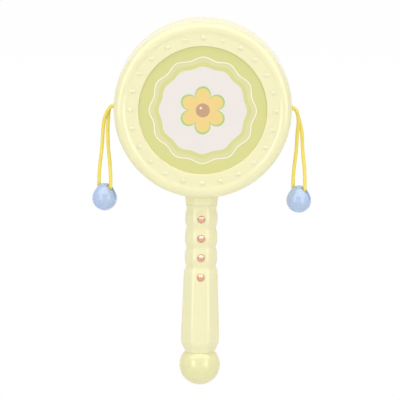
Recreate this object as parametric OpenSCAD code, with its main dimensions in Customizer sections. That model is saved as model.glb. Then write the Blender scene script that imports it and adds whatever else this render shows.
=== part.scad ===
// Pellet drum rattle: a shallow drum on a handle, with a bead on a doubled cord at each side.
// Z runs up the handle to the drum, the front drumhead faces -Y, and the origin lies on the
// handle's axis where a hand holds it. All sizes are in millimetres.

/* [Drum] */
// Radius of the drum at the seam of its two shells
drum_r = 48; // [46:0.5:54]
// Depth of the drum over the crests of both rims
drum_depth = 34; // [32:0.5:42]
// Height of the drum's centre above the grip
drum_z = 92; // [88:1:110]
// Radius of the rounded rim
rim_r = 4; // [3.6:0.1:4.6]
// How far each shell narrows from the seam to its rim
side_draft = 0.4; // [0.1:0.1:0.8]
// Depth of the studded ring below the rim's crest
ring_drop = 0.6; // [0.3:0.1:0.9]
// Wall of the shells at their sides
shell_wall = 1.8; // [1.4:0.1:2.2]
// Wall of the studded ring
ring_wall = 1.6; // [1.4:0.1:2]
// Bevel of the two shells where they meet
seam_bevel = 0.25; // [0.1:0.05:0.4]

/* [Studs] */
// Studs round each ring
stud_count = 24; // [12:4:32]
// Radius of a stud at its foot
stud_r = 1.6; // [1.2:0.1:1.9]
// Height of a stud above the ring
stud_h = 0.7; // [0.4:0.05:0.9]

/* [Drumheads] */
// Radius of the opening that shows a drumhead
head_open_r = 34.5; // [31:0.5:35]
// Thickness of a drumhead
head_wall = 0.6; // [0.4:0.1:0.8]
// Height that a drumhead stands up into its opening
head_rise = 0.4; // [0.2:0.1:0.6]
// How far a drumhead's edge reaches under the ring
head_lap = 1.2; // [0.9:0.1:1.4]
// Thickness of a clamp ring behind the drumhead
clamp_h = 1.8; // [1.2:0.1:2.4]
// Width of a clamp ring's wall outside the drumhead
clamp_wall = 0.9; // [0.7:0.1:1.1]

/* [Handle] */
// Length of the neck collar below the drum
neck_len = 4.5; // [3:0.5:8]
// Width of the collar across its flats where it meets the drum
neck_w = 18; // [17:0.5:20]
// Length of the handle from the collar to the knob
handle_len = 80.5; // [78:0.5:95]
// Width across the flats at a bulge
grip_w = 17.5; // [17:0.5:19]
// Depth of a finger groove on each side
groove_depth = 0.75; // [0.3:0.05:1]
// Width across the flats below the grooves
shoulder_w = 18.3; // [17.5:0.1:20]
// Largest width across the flats, near the knob
swell_w = 20.5; // [18.5:0.5:23]
// Width across the flats at the knob
end_w = 16.2; // [15.5:0.1:17.5]
// Share of an octagon's width that one flat takes up
flat_share = 0.46; // [0.42:0.01:0.5]
// Wall of the handle
handle_wall = 2.1; // [1.8:0.1:2.4]

/* [Knob] */
// Radius of the ball at the handle's end
knob_r = 11; // [10:0.25:13]
// Length of the ball's spigot inside the handle
knob_spigot = 7; // [5:0.5:10]
// Wall of the hollow ball
knob_wall = 1.8; // [1.4:0.1:2.4]

/* [Pegs] */
// Distance of the first peg below the collar
peg_start = 7.5; // [7:0.5:9]
// Distance from peg to peg
peg_pitch = 10.5; // [9.5:0.5:11.5]
// Radius of a peg's head
peg_r = 1.9; // [1.5:0.1:2.3]
// Depth of a peg's seat below the flat
peg_sink = 1; // [0.7:0.1:1.2]
// Height of a peg's dome above the flat
peg_dome = 1.1; // [0.8:0.05:1.3]
// Radius of a peg's stem
peg_stem_r = 1.15; // [0.8:0.05:1.3]

/* [Screws] */
// Radius of a screw's shank
screw_r = 1; // [0.8:0.05:1.1]
// Radius of a screw's head
screw_head_r = 1.8; // [1.5:0.05:1.9]
// Height of a screw's head
screw_head_h = 1; // [0.8:0.1:1.2]
// Radius of a screw boss
boss_r = 2.2; // [2.1:0.05:2.4]

/* [Cords and beads] */
// Radius of the cord
cord_r = 1; // [0.8:0.05:1.05]
// Radius of a bead
bead_r = 6.7; // [6.5:0.1:7.2]
// Radius of the bead's rounded top
crown_r = 5.2; // [5:0.05:5.4]
// Height of a bead's top above the bead's centre
crown_top = 8.2; // [8:0.1:8.4]
// Height of the cord hole above the bead's centre
bead_hole_rise = 5.4; // [5.3:0.05:5.5]
// Turn of the cord hole away from the drum's plane, in degrees
bead_turn = 25; // [20:1:30]
// How far a bead rocks on its cord to each side, in degrees
bead_rock = 25; // [20:1:28]

/* [Hidden] */
$fn = 96;

// Shared clearances: a close fit, a loose fit, and how far a cut runs past a face
fit_gap = 0.1;
loose_gap = 0.25;
overrun = 1;

// Drum section: distance from the axis and height above the seam
half_depth = drum_depth / 2;
rim_foot_r = drum_r - side_draft;
crest_r = rim_foot_r - rim_r;
rim_centre_h = half_depth - rim_r;
ring_h = half_depth - ring_drop;
ring_back_h = ring_h - ring_wall;
open_bevel = ring_wall / 4;
rim_steps = 12;
stud_circle_r = (head_open_r + crest_r) / 2;
stud_sphere_r = (stud_r * stud_r + stud_h * stud_h) / (2 * stud_h);
stud_sink = ring_wall / 4;

// Drumhead: its flat edge lies behind the ring and its middle stands up into the opening
head_edge_r = head_open_r + head_lap;
head_face_r = head_open_r - 2 * fit_gap;
head_top_h = ring_back_h + head_rise;
clamp_r = head_edge_r + clamp_wall;

// Screws: four in the drum, between studs, and two in the handle
stud_pitch = 360 / stud_count;
screw_turn = (floor(45 / stud_pitch - 0.5) + 0.5) * stud_pitch;
boss_circle_r = clamp_r + loose_gap + boss_r;
screw_hole_r = screw_r + loose_gap / 2;
screw_pilot_r = screw_r + fit_gap / 2;
screw_recess_r = screw_head_r + fit_gap;
screw_recess_h = screw_head_h + 2 * fit_gap;
drum_screw_grip = 10;
screw_slot_w = 0.2 * screw_head_r;
screw_slot_l = 1.3 * screw_head_r;
screw_slot_h = 0.4 * screw_head_h;

// Handle heights, downwards from the seam under the drum
seam_z = drum_z - drum_r - neck_len;
handle_end_z = seam_z - handle_len;
peg_count = 4;
last_groove_z = peg_z(peg_count - 1) + peg_pitch / 2;
shoulder_len = peg_pitch / 3;
shoulder_z = last_groove_z - shoulder_len;
end_round_len = 6;
swell_z = handle_end_z + 2 * end_round_len;
round_z = handle_end_z + end_round_len;
groove_steps = 26;
shoulder_steps = 4;
end_steps = 6;

// Inside of the handle, the tenon that holds it in the drum, and the knob
channel_r = grip_w / 2 - groove_depth - handle_wall;
lower_channel_r = shoulder_w / 2 - handle_wall;
tenon_r = channel_r + fit_gap;
tenon_bore_r = tenon_r - handle_wall;
collar_bore_r = tenon_r + fit_gap;
tenon_flange_r = tenon_r + 1.5;
tenon_flange_h = shell_wall;
drum_floor_z = drum_z - drum_r + shell_wall;
collar_top_z = drum_floor_z - shell_wall / 3;
tenon_flange_z = drum_z + loose_gap - sqrt(pow(drum_r - shell_wall, 2) - pow(tenon_flange_r, 2));
knob_bore_r = end_w / 2 - handle_wall;
knob_spigot_r = knob_bore_r - fit_gap;
knob_drop = sqrt(knob_r * knob_r - pow(end_w / 2 + fit_gap, 2));
knob_z = handle_end_z - knob_drop;
knob_bore_through_r = knob_spigot_r - knob_wall;
peg_tip = 0.5;
peg_bevel = 0.35;
handle_screw_zs = [peg_z(1.5), swell_z + 2 * boss_r];
handle_screw_h = channel_r;
handle_screw_grip = channel_r;

// Cord routes, measured from where a cord leaves the right side of the drum. A route gives the
// sideways offsets of one strand from the cord's own line, and its height. The other strand lies
// opposite. The cord is doubled, leaves the drum as two strands one behind the other, makes a
// quarter turn, opens out and passes through the bead.
cord_line = [[-6, 4.3], [0, 3.5]];
strand_offset = 1.1;
root_route = [[-2, 1.1, 0], [0, 1.1, 0], [1, 1.1, 0]];
upper_route = [[0, 1.1, 0], [0.55, 0.95, -1.3], [0.95, 0.55, -2.5], [1.1, 0, -3.75]];
middle_route = [[1.1, 0, -6], [1.15, 0, -10], [1.35, 0, -14.5], [1.5, 0, -19.25]];
lower_route = [
    [1.6, 0, -21.5], [2.2, -0.2, -26.5], [2.8, -0.6, -33], [3.1, -1.1, -39.5],
    [3.2, -1.5, -43.2], [3, -1.4, -43.9], [2.5, -1.2, -44.4], [1.9, -0.9, -44.6]
];
bead_hole_drop = 44.6;
cord_sides = 8;
cord_end_share = 0.7;

// Bead: a ball drawn up to a blunt top, with a cross hole. Each mouth is open upwards, as far as
// the cord tilts when the bead rocks, and runs out downwards in a shallow groove.
bead_z = -bead_hole_drop - bead_hole_rise;
bead_x = lookup(-bead_hole_drop, cord_line);
crown_z = crown_top - crown_r;
crown_lean = asin((bead_r - crown_r) / crown_z);
ball_steps = 36;
crown_steps = 6;
bead_hole_r = cord_r + loose_gap + fit_gap;
mouth_r = 1.9 * cord_r;
mouth_x = 3.7 * cord_r;
mouth_run_x = 0.78 * bead_r;
mouth_run_lean = 25;
knot_r = 3 * cord_r;
knot_flat_share = 0.7;

// Height of peg k, counted down from 0
function peg_z(k) = seam_z - peg_start - k * peg_pitch;

// A smooth step from 0 to 1
function smooth(t) = t * t * (3 - 2 * t);

// Half of the grooved grip's width across its flats at height z
function grip_half_w(z) = grip_w / 2 - groove_depth * pow(sin(180 * (z - peg_z(0)) / peg_pitch), 4);

// Half of the width at height z below the last groove
function lower_half_w(z) =
    z > shoulder_z ?
        grip_half_w(last_groove_z)
        + (shoulder_w / 2 - grip_half_w(last_groove_z)) * smooth((last_groove_z - z) / shoulder_len)
    : z > swell_z ?
        shoulder_w / 2 + (swell_w - shoulder_w) / 2 * (shoulder_z - z) / (shoulder_z - swell_z)
    : z > round_z ? swell_w / 2
    : swell_w / 2 - (swell_w - end_w) / 2 * smooth((round_z - z) / end_round_len);

function half_w(z) = z >= last_groove_z ? grip_half_w(z) : lower_half_w(z);

// Radius of the channel inside the handle at height z
function inner_r(z) = z > shoulder_z ? channel_r : lower_channel_r;

// Heights of the sections that give the handle's outline, from the knob upwards
handle_zs = concat(
    [for (k = [0 : end_steps]) handle_end_z + end_round_len * k / end_steps],
    [swell_z],
    [for (k = [0 : shoulder_steps - 1]) shoulder_z + shoulder_len * k / shoulder_steps],
    [for (k = [0 : groove_steps]) last_groove_z + (seam_z - last_groove_z) * k / groove_steps]
);

// Points of an arc, from one angle to another
function arc(centre, r, from, to, steps) =
    [for (k = [0 : steps]) let (a = from + (to - from) * k / steps) centre + r * [cos(a), sin(a)]];

// Half of an eight-sided section, in front of the middle plane
function half_octagon(w, z) = [
    [-w, 0, z], [-w, -flat_share * w, z], [-flat_share * w, -w, z],
    [flat_share * w, -w, z], [w, -flat_share * w, z], [w, 0, z]
];

// Joins equal rings of points, listed from one end to the other, into a closed solid
module skin(rings) {
    n = len(rings[0]);
    last = len(rings) - 1;
    sides = [
        for (i = [0 : last - 1], j = [0 : n - 1])
            let (a = i * n + j, b = i * n + (j + 1) % n)
            each [[a, a + n, b], [b, a + n, b + n]]
    ];
    start = [[for (j = [0 : n - 1]) j]];
    end = [[for (j = [n - 1 : -1 : 0]) last * n + j]];
    polyhedron([for (ring = rings) each ring], concat(start, sides, end));
}

function unit(v) = v / norm(v);

// Direction of a route at point i
function heading(route, i) =
    unit(route[min(i + 1, len(route) - 1)] - route[max(i - 1, 0)]);

// A ring of points round a cord, square to its heading
function cord_ring(centre, along, r) =
    let (u = unit(cross([0, 1, 0], along)), v = cross(along, u))
    [for (k = [0 : cord_sides - 1]) let (a = 360 * k / cord_sides) centre + r * (cos(a) * u + sin(a) * v)];

// A tube along a route, with rounded ends where it meets another link
module cord_tube(route, round_start = true, round_end = true) {
    last = len(route) - 1;
    reach = cord_end_share * cord_r;
    body = [for (i = [0 : last]) cord_ring(route[i], heading(route, i), cord_r)];
    start = cord_ring(route[0] - reach * heading(route, 0), heading(route, 0), reach);
    end = cord_ring(route[last] + reach * heading(route, last), heading(route, last), reach);
    skin(concat(round_start ? [start] : [], body, round_end ? [end] : []));
}

// Points of one strand, or of the strand opposite when sign is -1
function strand(route, sign) = [for (p = route) [lookup(p[2], cord_line) + sign * p[0], sign * p[1], p[2]]];

function backwards(points) = [for (i = [len(points) - 1 : -1 : 0]) points[i]];

// Turns a piece of the front half round to the rear half
module facing(rear) {
    rotate(rear ? 180 : 0)
        children();
}

// Places something on the middle plane at height z, pointing forwards
module forwards(z) {
    translate([0, 0, z])
        rotate([90, 0, 0])
            children();
}

// Places what is drawn as distance and height in the front half of the drum
module drum_half() {
    forwards(drum_z)
        children();
}

// Outline of one shell's wall: from the seam up the side, over the rim and down to the opening,
// then back along the inside
module shell_section() {
    rim_centre = [crest_r, rim_centre_h];
    inner_rim_r = rim_r - shell_wall;
    polygon(concat(
        [[drum_r - shell_wall, 0], [drum_r - seam_bevel, 0], [drum_r, seam_bevel]],
        arc(rim_centre, rim_r, 0, 180 - asin((ring_h - rim_centre_h) / rim_r), rim_steps),
        [
            [head_open_r + open_bevel, ring_h], [head_open_r, ring_h - open_bevel],
            [head_open_r, ring_back_h], [crest_r, ring_back_h]
        ],
        arc(rim_centre, inner_rim_r, 90, 0, rim_steps)
    ));
}

module stud() {
    rotate_extrude()
        intersection() {
            translate([0, stud_h - stud_sphere_r]) circle(stud_sphere_r);
            translate([0, -stud_sink]) square([stud_sphere_r, stud_sink + stud_h]);
        }
}

// Places something at each drum screw, on the plane of the seam
module at_drum_screws() {
    for (turn = [screw_turn, 180 - screw_turn, 180 + screw_turn, -screw_turn])
        rotate(turn)
            translate([boss_circle_r, 0, 0])
                children();
}

// The slot in the drum's side that lets both strands of a cord out
module cord_slot() {
    slot_r = cord_r + fit_gap;
    for (y = [-strand_offset, strand_offset])
        translate([drum_r - 2 * shell_wall, y, drum_z])
            rotate([0, 90, 0])
                cylinder(r = slot_r, h = 3 * shell_wall);
    translate([drum_r - 2 * shell_wall, -strand_offset, drum_z - slot_r])
        cube([3 * shell_wall, 2 * strand_offset, 2 * slot_r]);
}

// One shell of the drum with its studs, screw bosses and half of the neck collar
module shell(rear) {
    facing(rear)
        difference() {
            union() {
                drum_half() {
                    rotate_extrude($fn = 180) shell_section();
                    for (k = [0 : stud_count - 1])
                        rotate(90 + stud_pitch * k)
                            translate([stud_circle_r, 0, ring_h])
                                stud($fn = 24);
                    at_drum_screws()
                        cylinder(r = boss_r, h = ring_back_h + ring_wall / 2, $fn = 48);
                }
                skin([
                    half_octagon(grip_half_w(seam_z), seam_z),
                    half_octagon(neck_w / 2, seam_z + neck_len),
                    half_octagon(neck_w / 2, collar_top_z)
                ]);
            }
            translate([0, 0, seam_z - overrun])
                cylinder(r = collar_bore_r, h = drum_floor_z + shell_wall + overrun - seam_z);
            for (side = [0, 180])
                rotate(side) cord_slot();
            drum_half()
                at_drum_screws() {
                    if (rear) {
                        translate([0, 0, -overrun])
                            cylinder(r = screw_hole_r, h = half_depth + 2 * overrun, $fn = 48);
                        translate([0, 0, ring_h - screw_recess_h])
                            cylinder(r = screw_recess_r, h = screw_recess_h + overrun, $fn = 48);
                    } else
                        translate([0, 0, -overrun])
                            cylinder(r = screw_pilot_r, h = drum_screw_grip + overrun, $fn = 48);
                }
        }
}

// A drumhead: a thin sheet whose middle is pressed forwards into the opening
module head(rear) {
    facing(rear)
        drum_half()
            rotate_extrude($fn = 180)
                polygon([
                    [0, head_top_h - head_wall], [head_face_r - head_wall, head_top_h - head_wall],
                    [head_face_r - head_wall, ring_back_h - head_wall],
                    [head_edge_r, ring_back_h - head_wall], [head_edge_r, ring_back_h],
                    [head_face_r, ring_back_h], [head_face_r, head_top_h], [0, head_top_h]
                ]);
}

// The ring that holds a drumhead's edge against the back of the studded ring
module head_ring(rear) {
    head_back_h = ring_back_h - head_wall;
    facing(rear)
        drum_half()
            rotate_extrude($fn = 180)
                polygon([
                    [head_open_r, head_back_h - clamp_h], [clamp_r, head_back_h - clamp_h],
                    [clamp_r, ring_back_h], [head_edge_r, ring_back_h],
                    [head_edge_r, head_back_h], [head_open_r, head_back_h]
                ]);
}

// A round-headed screw with a cross slot: its head stands on z = 0 and its shank runs down
module screw(shank) {
    difference() {
        union() {
            cylinder(r = screw_head_r, h = screw_head_h, $fn = 48);
            translate([0, 0, -shank]) cylinder(r = screw_r, h = shank + screw_head_h / 2, $fn = 48);
        }
        for (turn = [0, 90])
            rotate(turn)
                translate([-screw_slot_l / 2, -screw_slot_w / 2, screw_head_h - screw_slot_h])
                    cube([screw_slot_l, screw_slot_w, screw_head_h]);
    }
}

module drum_screws() {
    head_z = ring_h - screw_recess_h;
    color("silver")
        facing(true)
            drum_half()
                at_drum_screws()
                    translate([0, 0, head_z])
                        screw(head_z + drum_screw_grip - screw_r);
}

// A hole for a peg in the front flat: a seat, a stem hole and a bevelled mouth
module peg_hole(k) {
    flat_y = half_w(peg_z(k));
    hole_r = peg_r + fit_gap / 2;
    forwards(peg_z(k)) {
        cylinder(r = peg_stem_r + fit_gap / 2, h = flat_y, $fn = 48);
        translate([0, 0, flat_y - peg_sink])
            cylinder(r = hole_r, h = peg_sink + overrun, $fn = 48);
        translate([0, 0, flat_y - peg_bevel])
            cylinder(r1 = hole_r, r2 = hole_r + peg_sink, h = peg_sink, $fn = 48);
    }
}

// The handle's outline with its inner channel, in front of the middle plane
module handle_shell() {
    lower_channel_z = round_z + end_round_len / 3;
    difference() {
        skin([for (z = handle_zs) half_octagon(half_w(z), z)]);
        translate([0, 0, shoulder_z])
            cylinder(r = channel_r, h = seam_z + overrun - shoulder_z);
        translate([0, 0, lower_channel_z])
            cylinder(r = lower_channel_r, h = shoulder_z - lower_channel_z);
        translate([0, 0, handle_end_z - overrun])
            cylinder(r = knob_bore_r, h = 2 * end_round_len + overrun);
    }
}

// One half of the handle with its screw bosses and the tenon that locks into the drum
module handle_half(rear) {
    facing(rear)
        difference() {
            union() {
                handle_shell();
                intersection() {
                    union() {
                        translate([0, 0, seam_z - handle_wall])
                            cylinder(r = tenon_r, h = tenon_flange_z + tenon_flange_h - seam_z + handle_wall);
                        translate([0, 0, tenon_flange_z])
                            cylinder(r = tenon_flange_r, h = tenon_flange_h);
                        for (z = handle_screw_zs)
                            forwards(z)
                                cylinder(r = boss_r, h = inner_r(z) + handle_wall / 2, $fn = 48);
                    }
                    translate([-swell_w / 2, -swell_w / 2, handle_end_z])
                        cube([swell_w, swell_w / 2, handle_len + drum_r]);
                }
            }
            translate([0, 0, seam_z - handle_wall - overrun])
                cylinder(r = tenon_bore_r, h = drum_r);
            for (z = handle_screw_zs)
                forwards(z)
                    if (rear) {
                        translate([0, 0, -overrun])
                            cylinder(r = screw_hole_r, h = swell_w, $fn = 48);
                        translate([0, 0, handle_screw_h])
                            cylinder(r = screw_recess_r, h = swell_w, $fn = 48);
                    } else
                        translate([0, 0, -overrun])
                            cylinder(r = screw_pilot_r, h = handle_screw_grip + overrun, $fn = 48);
            if (!rear)
                for (k = [0 : peg_count - 1]) peg_hole(k);
        }
}

module handle_screws() {
    color("silver")
        facing(true)
            for (z = handle_screw_zs)
                forwards(z)
                    translate([0, 0, handle_screw_h])
                        screw(handle_screw_h + handle_screw_grip - screw_r);
}

// The part of a ball about the knob's centre that lies below a height
module ball_below(r, top_z) {
    difference() {
        translate([0, 0, knob_z]) sphere(r);
        translate([-knob_r, -knob_r, top_z]) cube([2 * knob_r, 2 * knob_r, knob_r]);
    }
}

// The ball at the handle's end, hollow, with a spigot that plugs into the handle
module end_knob() {
    color("#f0edc4")
        difference() {
            union() {
                ball_below(knob_r, handle_end_z);
                translate([0, 0, handle_end_z - knob_wall / 2])
                    cylinder(r = knob_spigot_r, h = knob_wall / 2 + knob_spigot);
            }
            ball_below(knob_r - knob_wall, handle_end_z - knob_wall);
            translate([0, 0, knob_z])
                cylinder(r = knob_bore_through_r, h = knob_drop + knob_spigot + overrun);
        }
}

// A domed peg in its seat
module peg(k) {
    flat_y = half_w(peg_z(k));
    dome_r = (peg_r * peg_r + peg_dome * peg_dome) / (2 * peg_dome);
    stem = flat_y - peg_sink - channel_r + peg_tip;
    color("#e4a583")
        forwards(peg_z(k))
            translate([0, 0, flat_y - peg_sink])
                rotate_extrude($fn = 64) {
                    square([peg_r, peg_sink]);
                    translate([0, -stem]) square([peg_stem_r, stem]);
                    intersection() {
                        translate([0, peg_sink + peg_dome - dome_r]) circle(dome_r);
                        translate([0, peg_sink]) square([peg_r, peg_dome]);
                    }
                }
}

// Places something at the right side's cord exit, or turns it round to the left side
module at_side(left) {
    rotate(left ? 180 : 0)
        translate([drum_r, 0, drum_z])
            children();
}

// The knot inside the drum that a cord can't be pulled out by
module cord_knot(left) {
    color("#f0dc62")
        at_side(left)
            translate([root_route[0][0], 0, 0])
                intersection() {
                    translate([-knot_flat_share * knot_r, 0, 0]) sphere(knot_r, $fn = 48);
                    translate([-2 * knot_r, -knot_r, -knot_r]) cube(2 * knot_r);
                }
}

// Both strands where they pass through the slot
module cord_root(left) {
    color("#f0dc62")
        at_side(left)
            for (sign = [-1, 1])
                cord_tube([for (p = root_route) [p[0], sign * p[1], p[2]]], round_start = false);
}

// Both strands of a free stretch
module cord_link(left, route) {
    color("#f0dc62")
        at_side(left)
            for (sign = [-1, 1])
                cord_tube(strand(route, sign));
}

// The loop of the doubled cord that carries a bead
module cord_loop(left) {
    color("#f0dc62")
        at_side(left)
            cord_tube(concat(strand(lower_route, 1), backwards(strand(lower_route, -1))));
}

// Half of a bead's outline: the ball's arc, a straight flank and the crown's arc
module bead_section() {
    polygon(concat(
        arc([0, 0], bead_r, -90, crown_lean, ball_steps),
        arc([0, crown_z], crown_r, crown_lean, 90, crown_steps)
    ));
}

// What one mouth of the cross hole takes away
module bead_mouth() {
    translate([mouth_x, 0, 0]) {
        sphere(mouth_r);
        for (tilt = [-bead_rock, 0, bead_rock])
            rotate([tilt, 0, 0]) cylinder(r = mouth_r, h = bead_r);
    }
    translate([mouth_run_x, 0, 0])
        rotate([0, 180 - mouth_run_lean, 0])
            translate([0, 0, -overrun]) cylinder(r = mouth_r, h = 2 * bead_r);
}

module bead(left) {
    color("#b3c7e3")
        at_side(left)
            translate([bead_x, 0, bead_z])
                difference() {
                    rotate_extrude($fn = 128) bead_section();
                    translate([0, 0, bead_hole_rise])
                        rotate(-bead_turn) {
                            rotate([0, 90, 0])
                                translate([0, 0, -bead_r]) cylinder(r = bead_hole_r, h = 2 * bead_r);
                            for (half_turn = [0, 180])
                                rotate(half_turn) bead_mouth();
                        }
                }
}

module front_shell() {
    color("#f0edc4") shell(false);
}

module rear_shell() {
    color("#f0edc4") shell(true);
}

module front_head() {
    color("#dedc98") head(false);
}

module rear_head() {
    color("#dedc98") head(true);
}

module front_head_ring() {
    color("#e6e2b0") head_ring(false);
}

module rear_head_ring() {
    color("#e6e2b0") head_ring(true);
}

module handle_front() {
    color("#f0edc4") handle_half(false);
}

module handle_rear() {
    color("#f0edc4") handle_half(true);
}

front_shell();
rear_shell();
front_head();
rear_head();
front_head_ring();
rear_head_ring();
drum_screws();
handle_front();
handle_rear();
handle_screws();
end_knob();
peg(0);  // peg_1
peg(1);  // peg_2
peg(2);  // peg_3
peg(3);  // peg_4
cord_knot(true);  // left_cord_knot
cord_knot(false);  // right_cord_knot
cord_root(true);  // left_cord_root
cord_root(false);  // right_cord_root
cord_link(true, upper_route);  // left_cord_upper
cord_link(false, upper_route);  // right_cord_upper
cord_link(true, middle_route);  // left_cord_middle
cord_link(false, middle_route);  // right_cord_middle
cord_loop(true);  // left_cord_lower
cord_loop(false);  // right_cord_lower
bead(true);  // left_bead
bead(false);  // right_bead
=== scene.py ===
# %% [markdown]
# # A pellet drum rattle
#
# A shallow plastic drum sits on a grooved handle with a ball at its end. A bead hangs on a doubled
# cord at each side, and strikes the drumheads when the handle is twisted to and fro. The measured
# frame gives every piece its place and its motion. Here the visible pieces get their rounded
# edges, their printed and moulded surfaces, their braid and their light.

# %% Load the measured frame
import math

import bmesh
import bpy
import numpy as np
from mathutils import Matrix, Vector


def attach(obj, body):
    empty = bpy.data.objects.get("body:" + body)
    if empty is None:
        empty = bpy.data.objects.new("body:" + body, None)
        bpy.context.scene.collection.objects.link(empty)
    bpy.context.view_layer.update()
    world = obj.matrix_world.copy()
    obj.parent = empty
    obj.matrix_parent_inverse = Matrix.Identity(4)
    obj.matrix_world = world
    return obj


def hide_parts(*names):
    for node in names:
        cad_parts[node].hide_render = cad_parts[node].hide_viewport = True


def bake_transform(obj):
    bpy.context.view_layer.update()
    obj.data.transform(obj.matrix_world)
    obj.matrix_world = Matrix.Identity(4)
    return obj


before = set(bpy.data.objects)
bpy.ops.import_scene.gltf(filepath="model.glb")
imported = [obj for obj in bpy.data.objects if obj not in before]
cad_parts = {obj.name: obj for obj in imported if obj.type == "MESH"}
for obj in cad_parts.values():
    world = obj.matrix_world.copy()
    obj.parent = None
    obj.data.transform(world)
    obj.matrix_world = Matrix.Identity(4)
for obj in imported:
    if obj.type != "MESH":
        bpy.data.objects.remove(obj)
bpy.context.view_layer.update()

# %% [markdown]
# The sizes below are those of the real toy in millimetres. Z runs up the handle, the front
# drumhead faces -Y, and the origin lies on the handle's axis where a hand holds it.

# %% Sizes of the toy in millimetres
drum_r = 48
drum_z = 92
half_depth = 17
rim_r = 4
crest_r = 43.6
rim_centre_h = half_depth - rim_r
ring_h = 16.4
ring_back_h = 14.8
open_r = 34.5
head_face_h = 15.2
stud_count = 24
stud_r = 1.6
stud_h = 0.5
stud_circle_r = (open_r + crest_r) / 2
seam_z = 39.5
handle_end_z = -41
peg_heights = [32, 21.5, 11, 0.5]
peg_r = 1.9
peg_top, peg_slope, peg_soft = 0.95, 0.72, 0.1
knob_r = 11
knob_z = -48.33
bead_r = 6.7
bead_hole_rise = 5.4
bead_turn = math.radians(25)
cord_r = 1

# %% [markdown]
# The camera comes first. The photograph was taken with a long lens from a little above, so the
# rims keep their shape and the whole toy fills the square frame. The toy leans slightly to one
# side in the picture. Turning the toy would move it out of its measured place, so the camera
# rolls instead.

# %% Camera
def add_object(name, data):
    """An object in the scene with this mesh, camera or lamp, at the origin."""
    piece = bpy.data.objects.new(name, data)
    bpy.context.scene.collection.objects.link(piece)
    return piece


camera_distance = 2500
camera_rise = math.radians(8)
camera_roll = math.radians(0.7)
look_at = Vector((-0.9, 0, 41.5))
frame_width = 215.6
sight = Vector((0, -math.cos(camera_rise), math.sin(camera_rise)))
camera = add_object("camera", bpy.data.cameras.new("camera"))
sensor_width = 36
camera.data.sensor_width = sensor_width
camera.data.lens = sensor_width * camera_distance / frame_width
camera.data.clip_end = 50
turn = sight.to_track_quat("Z", "Y").to_matrix() @ Matrix.Rotation(camera_roll, 3, "Z")
camera.matrix_world = Matrix.Translation((look_at + sight * camera_distance) * 0.001) @ turn.to_4x4()
bpy.context.scene.camera = camera
print("lens:", round(camera.data.lens), "mm, frame:", frame_width, "mm wide at the toy")

# %% [markdown]
# Primitives and modifiers could make these forms too. Here every new surface is a grid of points
# instead, rings of equal length one after another, because each point then follows from a formula
# with the toy's real sizes in it. One helper joins the rings with four-sided faces, closes what has
# to be closed and turns the faces outwards.

# %% Grids of points become meshes
def grid_faces(rows, columns, start=0, wrap_rows=False):
    """Faces between neighbouring rings; every ring closes on itself, and the last may meet the first."""
    i, j = np.meshgrid(np.arange(rows if wrap_rows else rows - 1), np.arange(columns), indexing="ij")
    ahead, beside = (i + 1) % rows, (j + 1) % columns
    quads = np.stack([i * columns + j, i * columns + beside, ahead * columns + beside, ahead * columns + j], -1)
    return (quads.reshape(-1, 4) + start).tolist()


def rings_mesh(name, solids, wrap_rows=False, sharp=35):
    """One mesh of several closed solids. Each solid is an array rings x points x 3 in millimetres.
    A solid whose rings don't wrap gets a flat cap at each end."""
    verts, faces = [], []
    for rings in solids:
        start = sum(len(v) for v in verts)
        rows, columns = rings.shape[:2]
        verts.append(rings.reshape(-1, 3))
        faces += grid_faces(rows, columns, start, wrap_rows)
        if not wrap_rows:
            faces.append(list(range(start + columns - 1, start - 1, -1)))
            faces.append(list(range(start + (rows - 1) * columns, start + rows * columns)))
    mesh = bpy.data.meshes.new(name)
    mesh.from_pydata((np.concatenate(verts) * 0.001).tolist(), [], faces)
    tidy_mesh(mesh, sharp)
    return mesh


def tidy_mesh(mesh, sharp=35):
    """Merges doubles, turns the faces outwards and keeps edges crisp above an angle in degrees."""
    bm = bmesh.new()
    bm.from_mesh(mesh)
    bmesh.ops.remove_doubles(bm, verts=bm.verts, dist=1e-6)
    bmesh.ops.recalc_face_normals(bm, faces=bm.faces)
    bm.to_mesh(mesh)
    bm.free()
    mesh.polygons.foreach_set("use_smooth", [True] * len(mesh.polygons))
    mesh.set_sharp_from_angle(angle=math.radians(sharp))


# %% [markdown]
# Moulded and turned things are best drawn as outlines: arcs and straight lines, turned round an
# axis or stacked along one. Where a polygon should have soft corners, each corner is replaced
# by a short curve, which costs less than a bevel and keeps the rings of a stack alike.

# %% Outlines
def arc(centre, r, start, end, count):
    """Points of an arc in a plane, from one angle to another in degrees."""
    a = np.radians(np.linspace(start, end, count))
    return np.stack([centre[0] + r * np.cos(a), centre[1] + r * np.sin(a)], -1)


def revolve(profile, segments):
    """Turns a profile of (distance, height) round the Z axis: x = d cos a, y = d sin a, z = h."""
    a = np.linspace(0, 2 * np.pi, segments, endpoint=False)
    d, h = np.asarray(profile, float).T
    d = d[:, None]
    return np.stack([d * np.cos(a), d * np.sin(a), np.broadcast_to(h[:, None], (len(d), segments))], -1)


def soft_corners(points, radii, count=7):
    """A polygon whose corners are replaced by curves: each runs from one point on the side before
    the corner to one on the side after it, at the given distance from the corner."""
    p = np.asarray(points, float)
    before = np.roll(p, 1, 0) - p
    after = np.roll(p, -1, 0) - p
    r = np.broadcast_to(radii, len(p))[:, None]
    a = p + before / np.linalg.norm(before, axis=1, keepdims=True) * r
    b = p + after / np.linalg.norm(after, axis=1, keepdims=True) * r
    t = np.linspace(0, 1, count)[:, None, None]
    curve = (1 - t) ** 2 * a + 2 * t * (1 - t) * p + t**2 * b
    return curve.transpose(1, 0, 2).reshape(-1, p.shape[1])


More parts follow.
